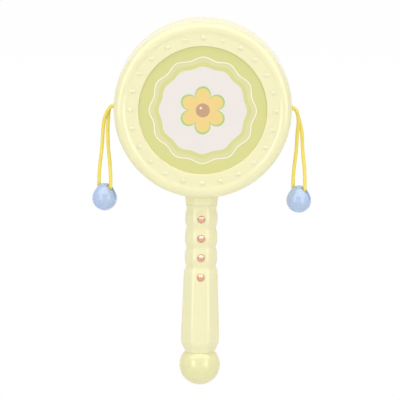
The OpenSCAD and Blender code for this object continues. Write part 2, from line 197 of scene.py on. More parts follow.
def place(points, turn_z=0, facing_front=False, at=(0, 0, 0)):
    """Moves points into place: a drum section is drawn lying down and stands up facing the front."""
    p = np.asarray(points, float)
    if facing_front:
        p = np.stack([p[..., 0], -p[..., 2], p[..., 1]], -1)
    c, s = math.cos(turn_z), math.sin(turn_z)
    p = p + np.array(at, float)
    return np.stack([c * p[..., 0] - s * p[..., 1], s * p[..., 0] + c * p[..., 1], p[..., 2]], -1)


# %% [markdown]
# Holes and seats are cut with a boolean modifier, as a drill or a mill would, and the modifier's
# result then becomes the mesh itself.

# %% Cut, bake and join
def cut(piece, tool_mesh, sharp=35, overlapping=False):
    """Takes the tool's solids away from the piece and deletes the tool. The solids may overlap if that is said."""
    tool = add_object("cutting_tool", tool_mesh)
    step = piece.modifiers.new("cut", "BOOLEAN")
    step.operation, step.solver, step.object = "DIFFERENCE", "EXACT", tool
    step.use_self = overlapping
    bake(piece)
    bpy.data.objects.remove(tool)
    tidy_mesh(piece.data, sharp)


def bake(piece):
    """Makes the result of the piece's modifiers its mesh."""
    bpy.context.view_layer.update()
    evaluated = piece.evaluated_get(bpy.context.evaluated_depsgraph_get())
    mesh = bpy.data.meshes.new_from_object(evaluated)
    piece.modifiers.clear()
    piece.data = mesh


def join(piece, mesh):
    """Adds another mesh's closed solids to the piece's mesh."""
    bm = bmesh.new()
    bm.from_mesh(piece.data)
    bm.from_mesh(mesh)
    bm.to_mesh(piece.data)
    bm.free()
    piece.data.polygons.foreach_set("use_smooth", [True] * len(piece.data.polygons))


# %% [markdown]
# ## Colours and shared surface effects
#
# Colours are written as they look on a screen and turned into linear light for the shaders. Nodes
# could be placed and linked one by one; a helper that makes a node, sets it and links it in one
# line keeps a long shader short enough to read.

# %% Colour and node helpers
def linear(code):
    """A screen colour such as f0edc4 as linear red, green, blue and alpha."""
    v = np.array([int(code[k:k + 2], 16) for k in (0, 2, 4)]) / 255
    v = np.where(v <= 0.04045, v / 12.92, ((v + 0.055) / 1.055) ** 2.4)
    return (*v.tolist(), 1)


def feed(tree, socket, value):
    """Links another socket to this one, or sets it to a plain value."""
    if isinstance(value, bpy.types.NodeSocket):
        tree.links.new(value, socket)
    else:
        socket.default_value = value


def add_node(tree, kind, values=None, **settings):
    """A node with its settings, and its sockets set to values or linked to other sockets."""
    node = tree.nodes.new("ShaderNode" + kind)
    for name, value in settings.items():
        setattr(node, name, value)
    for socket, value in (values or {}).items():
        feed(tree, node.inputs[socket], value)
    return node


def maths(tree, operation, a, b=0.0, c=0.0):
    """The result of one Math node."""
    return add_node(tree, "Math", {0: a, 1: b, 2: c}, operation=operation).outputs[0]


def blend_colour(tree, share, a, b):
    """Colour a where share is 0 and colour b where it is 1."""
    node = add_node(tree, "Mix", {"Factor": share}, data_type="RGBA")
    feed(tree, node.inputs[6], a)
    feed(tree, node.inputs[7], b)
    return node.outputs[2]


def new_group(name, inputs, outputs):
    """An empty node group with named sockets; returns the tree, its input node and its output node."""
    tree = bpy.data.node_groups.new(name, "ShaderNodeTree")
    for socket, kind, value in inputs:
        made = tree.interface.new_socket(socket, in_out="INPUT", socket_type="NodeSocket" + kind)
        if value is not None:
            made.default_value = value
    for socket, kind in outputs:
        tree.interface.new_socket(socket, in_out="OUTPUT", socket_type="NodeSocket" + kind)
    return tree, tree.nodes.new("NodeGroupInput"), tree.nodes.new("NodeGroupOutput")


def new_material(name, **fixed):
    """A material with one Principled shader, whose plain values are set on its own sockets."""
    material = bpy.data.materials.new(name)
    material.use_nodes = True
    tree = material.node_tree
    tree.nodes.clear()
    shader = add_node(tree, "BsdfPrincipled", {key.replace("_", " "): value for key, value in fixed.items()})
    output = tree.nodes.new("ShaderNodeOutputMaterial")
    tree.links.new(shader.outputs[0], output.inputs[0])
    return material, tree, shader


# %% [markdown]
# A moulded surface is never quite even: the tint has faint clouds, and the mould's own grain shows
# in the gloss. Several plastics share that, so it is one node group that takes a colour and a
# roughness and gives both back a little varied, with a normal.

# %% A moulded surface
moulding, enter, leave = new_group(
    "moulded_surface",
    [("Vector", "Vector", None), ("Colour", "Color", (1, 1, 1, 1)),
     ("Roughness", "Float", 0.3), ("Grain", "Float", 0.1)],
    [("Colour", "Color"), ("Roughness", "Float"), ("Normal", "Vector")],
)
clouds = add_node(moulding, "TexNoise", {"Vector": enter.outputs["Vector"], "Scale": 70, "Detail": 2})
grain = add_node(moulding, "TexNoise", {"Vector": enter.outputs["Vector"], "Scale": 2400, "Detail": 2})
tint = maths(moulding, "MULTIPLY_ADD", clouds.outputs[0], 0.04, 0.98)
tinted = add_node(moulding, "VectorMath", {0: enter.outputs["Colour"], 1: tint}, operation="MULTIPLY")
uneven = maths(moulding, "MULTIPLY_ADD", grain.outputs[0], 0.06, -0.03)
grain_height = 0.00004
bumps = add_node(moulding, "Bump", {"Strength": enter.outputs["Grain"], "Distance": grain_height,
                                    "Height": grain.outputs[0]})
moulding.links.new(tinted.outputs[0], leave.inputs["Colour"])
moulding.links.new(maths(moulding, "ADD", enter.outputs["Roughness"], uneven), leave.inputs["Roughness"])
moulding.links.new(bumps.outputs[0], leave.inputs["Normal"])


def use_moulding(tree, shader, colour, roughness, grain_depth):
    """Places the moulded surface in a material and feeds its colour, roughness and normal."""
    where = add_node(tree, "TexCoord")
    group = add_node(tree, "Group", node_tree=moulding)
    tree.links.new(where.outputs["Object"], group.inputs["Vector"])
    feed(tree, group.inputs["Colour"], colour)
    group.inputs["Roughness"].default_value = roughness
    group.inputs["Grain"].default_value = grain_depth
    tree.links.new(group.outputs["Colour"], shader.inputs["Base Color"])
    tree.links.new(group.outputs["Roughness"], shader.inputs["Roughness"])
    tree.links.new(group.outputs["Normal"], shader.inputs["Normal"])


print("the moulded surface has", len(moulding.nodes), "nodes")

# %% [markdown]
# ## Plastics and metal
#
# The cream shells are a satin plastic that lets a little light in, which softens its shadows. The
# ball and the beads are glossier. The ball is the same cream with painted shade: a darker, more
# olive copy of the colour. The coral pegs are glossiest: a clear coat over the colour gives the
# white reflection at the top of each. The screws are zinc-plated steel, and noise between two
# greys is enough for them, because they lie deep in their holes.

# %% The plain materials
def plastic(name, code, roughness, grain_depth, depth, **fixed):
    """A moulded plastic of one colour; depth in millimetres is how far light wanders under its skin."""
    material, tree, shader = new_material(
        name, Subsurface_Weight=0.12, Subsurface_Radius=(1, 0.8, 0.5), Subsurface_Scale=depth * 0.001, **fixed)
    use_moulding(tree, shader, linear(code), roughness, grain_depth)
    return material


cream_plastic = plastic("cream_plastic", "f0ebbe", 0.2, 0.03, 1.2)
# Painted shade: the ball is the same cream plastic as the handle, in a darker, more olive copy of its colour.
shaded_ball_plastic = plastic("shaded_ball_plastic", "eae6af", 0.15, 0.03, 1.2)
inner_plastic = plastic("inner_plastic", "e6e3b6", 0.45, 0.3, 1.2)
coral_plastic = plastic("coral_plastic", "da895a", 0.14, 0.02, 0.8, Specular_IOR_Level=1, Coat_Weight=1,
                        Coat_Roughness=0.08, Coat_IOR=2.2)
blue_plastic = plastic("blue_plastic", "b4c8e7", 0.16, 0.02, 1.5)

screw_steel, tree, shader = new_material("screw_steel", Metallic=1)
where = add_node(tree, "TexCoord")
lines = add_node(tree, "TexNoise", {"Vector": where.outputs["Object"], "Scale": 1800, "Detail": 3})
tree.links.new(blend_colour(tree, lines.outputs[0], linear("b9bbb9"), linear("d8d8d2")), shader.inputs["Base Color"])
tree.links.new(maths(tree, "MULTIPLY_ADD", lines.outputs[0], 0.2, 0.25), shader.inputs["Roughness"])
print("materials so far:", [material.name for material in bpy.data.materials])

# %% [markdown]
# ## The printed drumhead
#
# The drumhead is a thin sheet with a print: an olive border, a paler ring with a fine white line
# that waves evenly, an off-white middle, and a simple flower. An image could carry it. Here it is
# worked out from the distance and the angle round the drum's centre, because that stays clean
# at any size: each colour is laid over all that lies inside its edge, which is a narrow ramp.

# %% The print
def below(tree, value, edge, width=0.12):
    """1 where value is under edge, 0 above it, with a ramp of the given width in millimetres."""
    far_edge = maths(tree, "ADD", edge, width)
    ramp = add_node(tree, "MapRange", {"Value": value, "From Min": edge, "From Max": far_edge,
                                       "To Min": 1, "To Max": 0})
    return ramp.outputs[0]


def waves(tree, angle, count, middle, height):
    """A radius that goes up and down evenly round the drum: middle + height * cos(count * angle)."""
    turned = maths(tree, "MULTIPLY", angle, count)
    return maths(tree, "MULTIPLY_ADD", maths(tree, "COSINE", turned), height, middle)


def length_of(tree, x, y):
    """sqrt(x^2 + y^2)."""
    return maths(tree, "SQRT", maths(tree, "ADD", maths(tree, "MULTIPLY", x, x), maths(tree, "MULTIPLY", y, y)))


printed_head, tree, shader = new_material("printed_head")
where = add_node(tree, "TexCoord")
parts = add_node(tree, "SeparateXYZ", {0: where.outputs["Object"]})
across = maths(tree, "MULTIPLY", parts.outputs["X"], 1000)
up = maths(tree, "MULTIPLY_ADD", parts.outputs["Z"], 1000, -drum_z)
radius = length_of(tree, across, up)
angle = maths(tree, "ARCTAN2", across, up)
border = "d6d48b"
wave_count = 12
line_r = waves(tree, angle, wave_count, 28.0, 0.8)
line_width = 0.4
petal_wave = maths(tree, "ABSOLUTE", maths(tree, "COSINE", maths(tree, "MULTIPLY", angle, 3)))
petal_r = maths(tree, "MULTIPLY_ADD", maths(tree, "POWER", petal_wave, 0.6), 5.2, 6.6)
shine = length_of(tree, maths(tree, "ADD", across, 1.1), maths(tree, "ADD", up, -1.2))

print_colour = linear(border)
for what, value, edge, code in (
    ("white line", radius, line_r, "fbf9ee"),
    ("pale ring", radius, maths(tree, "SUBTRACT", line_r, line_width), "dbd8a1"),
    ("inner band", radius, waves(tree, angle, wave_count, 25.2, 0.6), border),
    ("middle", radius, waves(tree, angle, wave_count, 23.0, 0.5), "e8e1dc"),
    ("petals' edge", radius, maths(tree, "ADD", petal_r, 1.1), "a9ce74"),
    ("petals", radius, petal_r, "ecce84"),
    ("heart", radius, 3.7, "c49a78"),
    ("shine on the heart", shine, 0.6, "f5e9dd"),
):
    print_colour = blend_colour(tree, below(tree, value, edge), print_colour, linear(code))
    print("printed:", what)
use_moulding(tree, shader, print_colour, 0.34, 0.1)

# %% [markdown]
# ## The braided cords
#
# A thin braid is yarns that wind round it both ways and cross over and under. Every yarn could be
# its own tube, but the cord is only 2 mm thick, so the yarns are drawn in its shader. The braid's
# group reads a map on the cord itself, round it and along it in millimetres, so the yarns follow
# every bend. It gives a height and a mask of fine fibres. The height makes the bumps, and it also
# paints shade into the colour: darker in the hollows between the yarns, lighter on their crests.

# %% The braid's group and material
braid, enter, leave = new_group(
    "braid", [("Vector", "Vector", None), ("Carriers", "Float", 4.0), ("Pitch", "Float", 4.0)],
    [("Height", "Float"), ("Fibre", "Float")])
map_parts = add_node(braid, "SeparateXYZ", {0: enter.outputs["Vector"]})
full_turns = maths(braid, "MULTIPLY", enter.outputs["Carriers"], 2 * math.pi)
pitches = maths(braid, "DIVIDE", map_parts.outputs["Y"], enter.outputs["Pitch"])
round_turn = maths(braid, "MULTIPLY", map_parts.outputs["X"], full_turns)
along_turn = maths(braid, "MULTIPLY", pitches, full_turns)
one_way = maths(braid, "SINE", maths(braid, "ADD", round_turn, along_turn))
other_way = maths(braid, "SINE", maths(braid, "SUBTRACT", round_turn, along_turn))
height = maths(braid, "MULTIPLY_ADD", maths(braid, "MAXIMUM", one_way, other_way), 0.5, 0.5)
stretched = add_node(braid, "Mapping", {"Vector": enter.outputs["Vector"], "Scale": (60, 8, 1),
                                        "Rotation": (0, 0, 0.5)})
fibres = add_node(braid, "TexNoise", {"Vector": stretched.outputs[0], "Scale": 3, "Detail": 2})
braid.links.new(height, leave.inputs["Height"])
braid.links.new(fibres.outputs[0], leave.inputs["Fibre"])

cord_yarn, tree, shader = new_material(
    "cord_yarn", Sheen_Weight=0.25, Sheen_Roughness=0.4, Roughness=0.72, Subsurface_Weight=0.15,
    Subsurface_Radius=(1, 0.7, 0.3), Subsurface_Scale=0.0008)
where = add_node(tree, "UVMap", uv_map="braid")
yarns = add_node(tree, "Group", node_tree=braid)
tree.links.new(where.outputs[0], yarns.inputs["Vector"])
# Painted shade and highlight: the yarn is darker where the braid is low, in the hollows between the yarns, and
# lighter on their crests.
shade = maths(tree, "MULTIPLY_ADD", yarns.outputs["Height"], 0.8, 0.1)
shaded_yarn_colour = blend_colour(tree, shade, linear("e7d140"), linear("f8e66c"))
shaded_yarn_colour = blend_colour(tree, maths(tree, "MULTIPLY", yarns.outputs["Fibre"], 0.25), shaded_yarn_colour, linear("fbee9a"))
tree.links.new(shaded_yarn_colour, shader.inputs["Base Color"])
fibrous = maths(tree, "MULTIPLY_ADD", yarns.outputs["Fibre"], 0.2, yarns.outputs["Height"])
relief = add_node(tree, "Bump", {"Strength": 0.6, "Distance": 0.00012, "Height": fibrous})
tree.links.new(relief.outputs[0], shader.inputs["Normal"])
print("the braid's group has", len(braid.nodes), "nodes")

# %% [markdown]
# ## The routes of the cords
#
# Each cord is one length that runs from a knot inside the drum through a slot in its side, down
# through the bead and back up. Its two strands leave the drum one behind the other, make a quarter
# turn until they hang side by side, open out and meet again in the bead. A curve drawn by hand
# would do, but two strands must stay apart by at least their thickness all the way. So a strand is
# the cord's own line plus an offset that turns and widens, and both are short tables of heights
# that a smooth curve passes through.

# %% Routes measured from the drum's side, in millimetres
def smooth_curve(points, step):
    """A Catmull-Rom curve through the points, sampled evenly at about the given step."""
    p = np.asarray(points, float)
    p = np.vstack([2 * p[0] - p[1], p, 2 * p[-1] - p[-2]])
    t = np.linspace(0, 1, 24, endpoint=False)[:, None, None]
    a, b, c, d = p[:-3], p[1:-2], p[2:-1], p[3:]
    curve = 0.5 * (2 * b + (c - a) * t + (2 * a - 5 * b + 4 * c - d) * t**2 + (3 * b - a - 3 * c + d) * t**3)
    curve = np.vstack([curve.transpose(1, 0, 2).reshape(-1, p.shape[1]), p[-2]])
    length = np.concatenate([[0], np.cumsum(np.linalg.norm(np.diff(curve, axis=0), axis=1))])
    even = np.linspace(0, length[-1], max(2, int(round(length[-1] / step)) + 1))
    return np.stack([np.interp(even, length, curve[:, k]) for k in range(p.shape[1])], -1)


cord_line = [(-3.4, 0.2), (-1.4, 0.35), (0.4, 0.25), (2.0, -0.9), (3.1, -3.6), (3.75, -7.0), (4.1, -10.2),
             (4.25, -13.5), (4.3, -20), (4.3, -28), (4.3, -36), (4.3, -44.6)]
spread_by_height = [(-44.6, 3.25), (-41.5, 3.35), (-38, 3.25), (-34, 2.95), (-29.5, 2.5), (-25.5, 2.0), (-21, 1.6),
                    (-15, 1.35), (-9, 1.15), (-3, 1.1), (1, 1.1)]
turn_by_height = {"right": [(-44.6, -25), (-36, -14), (-27, -6), (-16, 0), (-12, 30), (-8, 68), (-4.5, 90), (1, 90)],
                  "left": [(-44.6, -25), (-36, -14), (-27, -6), (-9, 0), (-6.5, 24), (-3.5, 62), (-1, 86), (1, 90)]}


def strand_route(side, sign):
    """One strand from the knot down to the bead's mouth: the line plus an offset that turns and widens."""
    line = smooth_curve(cord_line, 0.5)
    line = line[line[:, 1] > -42.4]
    spread = np.interp(line[:, 1], *np.array(spread_by_height).T)
    turned = np.radians(np.interp(line[:, 1], *np.array(turn_by_height[side]).T))
    return np.stack([line[:, 0] + sign * spread * np.cos(turned), sign * spread * np.sin(turned), line[:, 1]], -1)


bead_hole = np.array([4.3, 0, -44.6])


def whole_route(side):
    """Both strands and the stretch through the bead, smoothed as one curve, in the toy's frame."""
    down, up_again = strand_route(side, 1), strand_route(side, -1)[::-1]
    mouth = np.array([math.cos(bead_turn), -math.sin(bead_turn), 0])
    through = [bead_hole + mouth * s + np.array([0, 0, h]) for s, h in
               ((3.45, 0.75), (2.9, 0.2), (2.0, 0), (0, 0), (-2.0, 0), (-2.9, 0.2), (-3.45, 0.75))]
    knots = np.vstack([down[::6], through, up_again[::-1][::6][::-1]])
    route = smooth_curve(knots, 0.4)
    return place(route, math.pi if side == "left" else 0, at=(drum_r, 0, drum_z))


cord_routes = {side: whole_route(side) for side in ("right", "left")}
for side, route in cord_routes.items():
    length = np.linalg.norm(np.diff(route, axis=0), axis=1).sum()
    print(side, "cord, from knot to knot:", round(length, 1), "mm")

# %% [markdown]
# A cord bends over three hinges. So it is three pieces that meet on shared rings: the stretch out
# of the drum, the stretch below it, and the loop with the bead. A bevelled curve object gives a
# tube at once, but no map that runs along it in millimetres. Here the rings are carried along the
# curve without twisting, and the map follows them.

# %% Build the cords
def carried_frames(route):
    """Two directions square to the curve at each point, turned with the curve and not round it."""
    heading = np.gradient(route, axis=0)
    heading /= np.linalg.norm(heading, axis=1, keepdims=True)
    side_way = np.zeros_like(route)
    side_way[0] = np.cross(heading[0], [0, 0, 1.0])
    side_way[0] /= np.linalg.norm(side_way[0])
    for k in range(1, len(route)):
        v = side_way[k - 1] - heading[k] * (side_way[k - 1] @ heading[k])
        side_way[k] = v / np.linalg.norm(v)
    return side_way, np.cross(heading, side_way)


def tube_solid(route, side_way, other_way, r, sides=16):
    """Circles of radius r square to the route: route + r (cos a * side_way + sin a * other_way)."""
    a = np.linspace(0, 2 * np.pi, sides, endpoint=False)[None, :, None]
    return route[:, None] + r * (np.cos(a) * side_way[:, None] + np.sin(a) * other_way[:, None])


def cord_piece(name, side, ranges):
    """A tube along each range of the cord's route, with its braid map: round it, and along it in millimetres."""
    route = cord_routes[side]
    side_way, other_way = carried_frames(route)
    along = np.concatenate([[0], np.cumsum(np.linalg.norm(np.diff(route, axis=0), axis=1))])
    solids = [tube_solid(route[a:b], side_way[a:b], other_way[a:b], cord_r) for a, b in ranges]
    verts = np.concatenate([s.reshape(-1, 3) for s in solids])
    faces, map_points, start = [], [], 0
    for (a, b), solid in zip(ranges, solids):
        rows, sides = solid.shape[:2]
        faces += grid_faces(rows, sides, start)
        i, j = np.meshgrid(np.arange(rows - 1), np.arange(sides), indexing="ij")
        corners = [(i, j), (i, j + 1), (i + 1, j + 1), (i + 1, j)]
        map_points.append(np.stack([np.stack([v / sides, along[a + u]], -1) for u, v in corners], 2).reshape(-1, 2))
        first_cap = list(range(start + sides - 1, start - 1, -1))
        last_cap = list(range(start + (rows - 1) * sides, start + rows * sides))
        for cap in (first_cap, last_cap):
            faces.append(cap)
            map_points.append(np.zeros((sides, 2)) + [0, along[a]])
        start += rows * sides
    mesh = bpy.data.meshes.new(name)
    mesh.from_pydata((verts * 0.001).tolist(), [], faces)
    mesh.uv_layers.new(name="braid").uv.foreach_set("vector", np.concatenate(map_points).astype(np.float32).ravel())
    bm = bmesh.new()
    bm.from_mesh(mesh)
    bmesh.ops.recalc_face_normals(bm, faces=bm.faces)
    bm.to_mesh(mesh)
    bm.free()
    mesh.polygons.foreach_set("use_smooth", [True] * len(mesh.polygons))
    mesh.set_sharp_from_angle(angle=math.radians(50))
    mesh.materials.append(cord_yarn)
    return add_object(name, mesh)


# %% [markdown]
# The pieces meet between one hinge and the next, where the cord passes two given heights.


upper_share_z, middle_share_z = 89.2, 78.5
for side in ("right", "left"):
    route = cord_routes[side]
    out = 1 if side == "right" else -1
    heights = route[:, 2]
    lowest = int(np.argmin(heights))
    first = int(np.argmax(heights[:lowest] < upper_share_z))
    second = int(np.argmax(heights[:lowest] < middle_share_z))
    last = lowest + int(np.argmax(heights[lowest:] > upper_share_z))
    last_but_one = lowest + int(np.argmax(heights[lowest:] > middle_share_z))
    top = cord_piece(side + "_cord_top", side, [(0, first + 1), (last, len(route))])
    waist = cord_piece(side + "_cord_waist", side, [(first, second + 1), (last_but_one, last + 1)])
    loop = cord_piece(side + "_cord_loop", side, [(second, last_but_one + 1)])
    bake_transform(top)
    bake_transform(waist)
    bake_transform(loop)
    for piece, nodes in ((top, ("root", "upper")), (waist, ("middle",)), (loop, ("lower",))):
        for node in nodes:
            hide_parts("%s_cord_%s" % (side, node))

# %% [markdown]
# ## The drum's two shells
#
# Each shell is one moulding: a side wall, a rounded rim, and a flat ring with studs round the
# drumhead. A cylinder with bevels comes near, but the rim is an arc that runs into a slightly
# drafted wall. So the wall is a closed outline, drawn once and turned round the drum's axis like
# work on a lathe. A stud is a dome of the same kind, very low, with a foot that fades out.

# %% Outlines of the wall and of a stud
def shell_outline():
    """The wall's closed outline as (distance, height above the seam), with every edge rounded."""
    rim = (crest_r, rim_centre_h)
    ring_corner = 180 - math.degrees(math.asin((ring_h - rim_centre_h) / rim_r))
    side_wall = np.stack([np.linspace(drum_r, crest_r + rim_r, 8)[1:-1], np.linspace(0.3, rim_centre_h, 8)[1:-1]], -1)
    return np.vstack([
        [(drum_r - 1.8, 0.01), (drum_r - 0.5, 0.01), (drum_r - 0.24, 0.02)],
        arc((drum_r - 0.24, 0.26), 0.24, -75, 0, 6),
        side_wall,
        arc(rim, rim_r, 0, ring_corner - 9, 40),
        [(crest_r + rim_r * math.cos(math.radians(ring_corner - 4)) - 0.1, ring_h + 0.07)],
        [(crest_r - 2.55, ring_h + 0.01), (crest_r - 3.1, ring_h), (37.5, ring_h)],
        arc((open_r + 0.45, ring_h - 0.45), 0.45, 90, 180, 8),
        [(open_r, head_face_h + 0.05), (open_r - 0.17, head_face_h - 0.04), (open_r - 0.17, ring_back_h + 0.05),
         (open_r, ring_back_h), (crest_r, ring_back_h)],
        arc(rim, rim_r - 1.8, 90, 0, 12),
    ])


def stud_outline():
    """A stud's dome with a soft foot, as (distance, height above the ring), from its tip to below the ring."""
    d = np.linspace(0, 1, 14)
    dome = np.stack([d * stud_r, stud_h * (1 - d**2) ** 1.6], -1)
    dome[0, 0] = 0.001
    return np.vstack([dome[:-1], [(stud_r * 1.02, 0.06), (stud_r * 1.12, 0.012), (stud_r * 1.14, -0.3)]])


def all_studs():
    """The studs of one ring: the same dome, placed evenly round the drum."""
    dome = revolve(stud_outline(), 24)
    solids = []
    for a in np.arange(stud_count) * 2 * np.pi / stud_count:
        c, s = math.cos(a), math.sin(a)
        x = dome[..., 0] + stud_circle_r
        solids.append(np.stack([c * x - s * dome[..., 1], s * x + c * dome[..., 1], dome[..., 2] + ring_h], -1))
    return solids


print("the wall's outline has", len(shell_outline()), "points, and a ring has", len(all_studs()), "studs")

# %% [markdown]
# The handle and the collar under the drum share one section: eight sides with soft edges. Its
# width changes with height. Below the drum come the finger grooves, one between every two
# pegs; then a shoulder, a slow swell, and a rounded end. One function of the height says all
# that, where separate blocks would each need their joints smoothed.

# %% The handle's outline, shared by the collar
groove_depth, grip_w, shoulder_w, swell_w, end_w = 0.75, 17.5, 18.3, 20.5, 16.2
flat_share = 0.46
peg_pitch = 10.5
last_groove_z = peg_heights[3] + peg_pitch / 2
shoulder_z = last_groove_z - peg_pitch / 3
round_z, swell_z = handle_end_z + 6, handle_end_z + 12


def ease(t):
    """0 below 0, 1 above 1, and 3 t^2 - 2 t^3 between."""
    t = np.clip(t, 0, 1)
    return t**2 * (3 - 2 * t)


def half_width(z):
    """Half of the width across the flats. The grooves are grip_w / 2 - depth * sin(pi * (z - first peg) / pitch)^4;
    the shoulder and the rounded end are eased steps, and the swell is a straight line."""
    z = np.asarray(z, float)
    grip = grip_w / 2 - groove_depth * np.sin(np.pi * (z - peg_heights[0]) / peg_pitch) ** 4
    low = grip_w / 2 - groove_depth
    step = low + (shoulder_w / 2 - low) * ease((last_groove_z - z) / (last_groove_z - shoulder_z))
    swell = shoulder_w / 2 + (swell_w - shoulder_w) / 2 * np.clip((shoulder_z - z) / (shoulder_z - swell_z), 0, 1)
    end = swell_w / 2 - (swell_w - end_w) / 2 * ease((round_z - z) / (round_z - handle_end_z))
    return np.where(z >= last_groove_z, grip, np.where(z > shoulder_z, step, np.where(z > round_z, swell, end)))


def half_octagons(heights, widths, gap=0.02, edge=1.5, seam_edge=0.22):
    """Front halves of an eight-sided section at each height, with soft edges and a fine groove at the seam."""
    unit_w = np.array([(-1, 0), (-1, -flat_share), (-flat_share, -1), (flat_share, -1), (1, -flat_share), (1, 0)])
    rings = []
    for z, w in zip(heights, widths):
        corners = unit_w * w
        corners[[0, -1], 1] = -gap
        ring = soft_corners(corners, [seam_edge, edge, edge, edge, edge, seam_edge])
        rings.append(np.column_stack([ring, np.full(len(ring), z)]))
    return np.array(rings)


def capped(rings, low_inset=0.22, high_inset=0.22):
    """Adds a narrow bevel at both ends, so that two pieces that meet show a fine line."""
    def drawn_in(ring, inset):
        """The ring moved towards its middle by the inset."""
        middle = ring.mean(0)
        flat = ring - middle
        out = middle + flat * (1 - inset / np.linalg.norm(flat[:, :2], axis=1, keepdims=True).max())
        out[:, 1] = np.minimum(out[:, 1], ring[:, 1].max())
        out[:, 2] = ring[0, 2]
        return out
    first, last = drawn_in(rings[0], low_inset), drawn_in(rings[-1], high_inset)
    rings = rings.copy()
    rings[0, :, 2] += low_inset
    rings[-1, :, 2] -= high_inset
    return np.concatenate([[first], rings, [last]])


print("the handle is", grip_w, "mm wide at the grip,", swell_w, "mm at the swell and", end_w, "mm at its end")

# %% [markdown]
# A shell starts as the turned wall. A slot at each side lets the cord out, and the rear shell has
# recesses for the screws. These are cut as a drill would cut them, with the exact boolean. The
# studs and the collar need no union: each is a closed body that stands a little inside the
# wall, as one moulding, and the eye sees one surface.

# %% Build both shells
boss_circle_r = 39.05
screw_turns = np.radians([37.5, 142.5, 217.5, 322.5])
hole_r = 1.9
collar_half_w = 9
for name, turned, node in (("drum_front", 0, "front_shell"), ("drum_rear", math.pi, "rear_shell")):
    wall = place(revolve(shell_outline(), 360), turned, True, (0, 0, drum_z))
    shell = add_object(name, rings_mesh(name, [wall], wrap_rows=True))
    slots = []
    for out in (0, math.pi):
        oval = soft_corners([(-2.25, -1.15), (2.25, -1.15), (2.25, 1.15), (-2.25, 1.15)], 1.14, 9)
        slot = np.array([np.column_stack([np.full(len(oval), x), oval]) for x in (drum_r - 4, drum_r + 2)])
        slots.append(place(slot, out, at=(0, 0, drum_z + 0.25)))
    cut(shell, rings_mesh("slots", slots))
    if node == "rear_shell":
        recess = revolve([(0.001, 15.2), (hole_r, 15.2), (hole_r, ring_h - 0.2), (2.1, ring_h + 0.01),
                          (2.1, ring_h + 1), (0.001, ring_h + 1)], 32)
        recesses = []
        for a in screw_turns:
            moved = recess + np.array([boss_circle_r * math.cos(a), boss_circle_r * math.sin(a), 0])
            recesses.append(place(moved, turned, True, (0, 0, drum_z)))
        cut(shell, rings_mesh("recesses", recesses))
    studs = [place(stud, turned, True, (0, 0, drum_z)) for stud in all_studs()]
    join(shell, rings_mesh("studs", studs))
    heights = np.linspace(seam_z + 0.02, seam_z + 5.7, 14)
    widths = half_width(seam_z) + (collar_half_w - half_width(seam_z)) * np.clip((heights - seam_z) / 4.5, 0, 1)
    collar = capped(half_octagons(heights, widths))
    join(shell, rings_mesh("collar", [place(collar, turned)]))
    shell.data.set_sharp_from_angle(angle=math.radians(35))
    shell.data.materials.clear()
    shell.data.materials.append(cream_plastic)
    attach(shell, "root")
    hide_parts(node)
    print(name, len(shell.data.polygons), "faces")

# %% [markdown]
# ## The handle and its pegs
#
# The handle is two halves with a seam along its sides. A half is a stack of the eight-sided
# sections, close enough together for the grooves to be smooth, with one exactly at each height
# where the outline changes. The peg seats are cut with a small turned tool that leaves a
# bevelled mouth round each peg, and the rear half has two bores for the screws.

# %% Build the handle
heights = np.unique(np.concatenate([np.linspace(handle_end_z + 0.02, seam_z - 0.02, 190),
                                    [last_groove_z, shoulder_z, round_z, swell_z]]))
handle_screw_heights = (16.25, swell_z + 4.4)
seat_r = 1.95

for name, turned, node in (("grip_front", 0, "handle_front"), ("grip_rear", math.pi, "handle_rear")):
    half = capped(half_octagons(heights, half_width(heights)), 0.03)
    grip = add_object(name, rings_mesh(name, [place(half, turned)]))
    tools = []
    if node == "handle_front":
        for z in peg_heights:
            flat = float(half_width(z))
            seat = revolve([(0.001, -1), (seat_r, -1), (seat_r, -0.38), (2.0, -0.3), (2.38, 0.06),
                            (2.6, 1), (0.001, 1)], 40)
            tools.append(place(seat, 0, True, (0, -flat, z)))
    else:
        for z in handle_screw_heights:
            flat = float(half_width(z))
            bore = revolve([(0.001, 5.9), (hole_r, 5.9), (hole_r, flat - 0.2), (2.15, flat + 0.05),
                            (2.15, flat + 2), (0.001, flat + 2)], 32)
            tools.append(place(bore, turned, True, (0, 0, z)))
    cut(grip, rings_mesh("seats", tools), 30)
    grip.data.materials.clear()
    grip.data.materials.append(cream_plastic)
    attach(grip, "root")
    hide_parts(node)
    print(name, len(grip.data.polygons), "faces")

# %% [markdown]
# The pegs are moulded buttons pressed into their seats, and the ball ends the handle. In the
# photograph the upper third of each peg is white, with a clear lower edge. A plain dome would
# show a small round glint. A short cone round a flat top turns a whole strip of the surface
# towards the high lamp at once, and gives that white top.

# %% Pegs and the ball at the end
def peg_cap():
    """A button's cap as (distance, height): the lower of a flat top and a cone, with the corner between them
    rounded: h = (top + cone - sqrt((top - cone)^2 + soft^2)) / 2."""
    d = np.linspace(0.001, peg_r - 0.03, 26)
    cone = peg_slope * (peg_r - d)
    return np.stack([d, (peg_top + cone - np.sqrt((peg_top - cone) ** 2 + peg_soft**2)) / 2], -1)


peg_foot = -0.98
for k, z in enumerate(peg_heights):
    flat = float(half_width(z))
    outline = np.vstack([peg_cap(), [(peg_r - 0.01, -0.03), (peg_r, -0.12), (peg_r, peg_foot), (0.001, peg_foot)]])
    name = "peg_%d_dome" % (k + 1)
    peg = add_object(name, rings_mesh(name, [place(revolve(outline, 40), 0, True, (0, -flat, z))]))
    peg.data.materials.append(coral_plastic)
    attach(peg, "root")
    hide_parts("peg_%d" % (k + 1))

knob_top_z = handle_end_z + 0.012
top_angle = math.degrees(math.asin(8.2 / knob_r))
ball = np.vstack([[(0.001, knob_top_z), (8.15, knob_top_z)],
                  arc((0, knob_z), knob_r, 90 - top_angle - 3, -89.9, 80)])
knob = add_object("end_ball", rings_mesh("end_ball", [revolve(ball, 128)]))
knob.data.materials.append(shaded_ball_plastic)
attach(knob, "root")
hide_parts("end_knob")
print("pegs at heights", peg_heights, "and a ball of", 2 * knob_r, "mm")

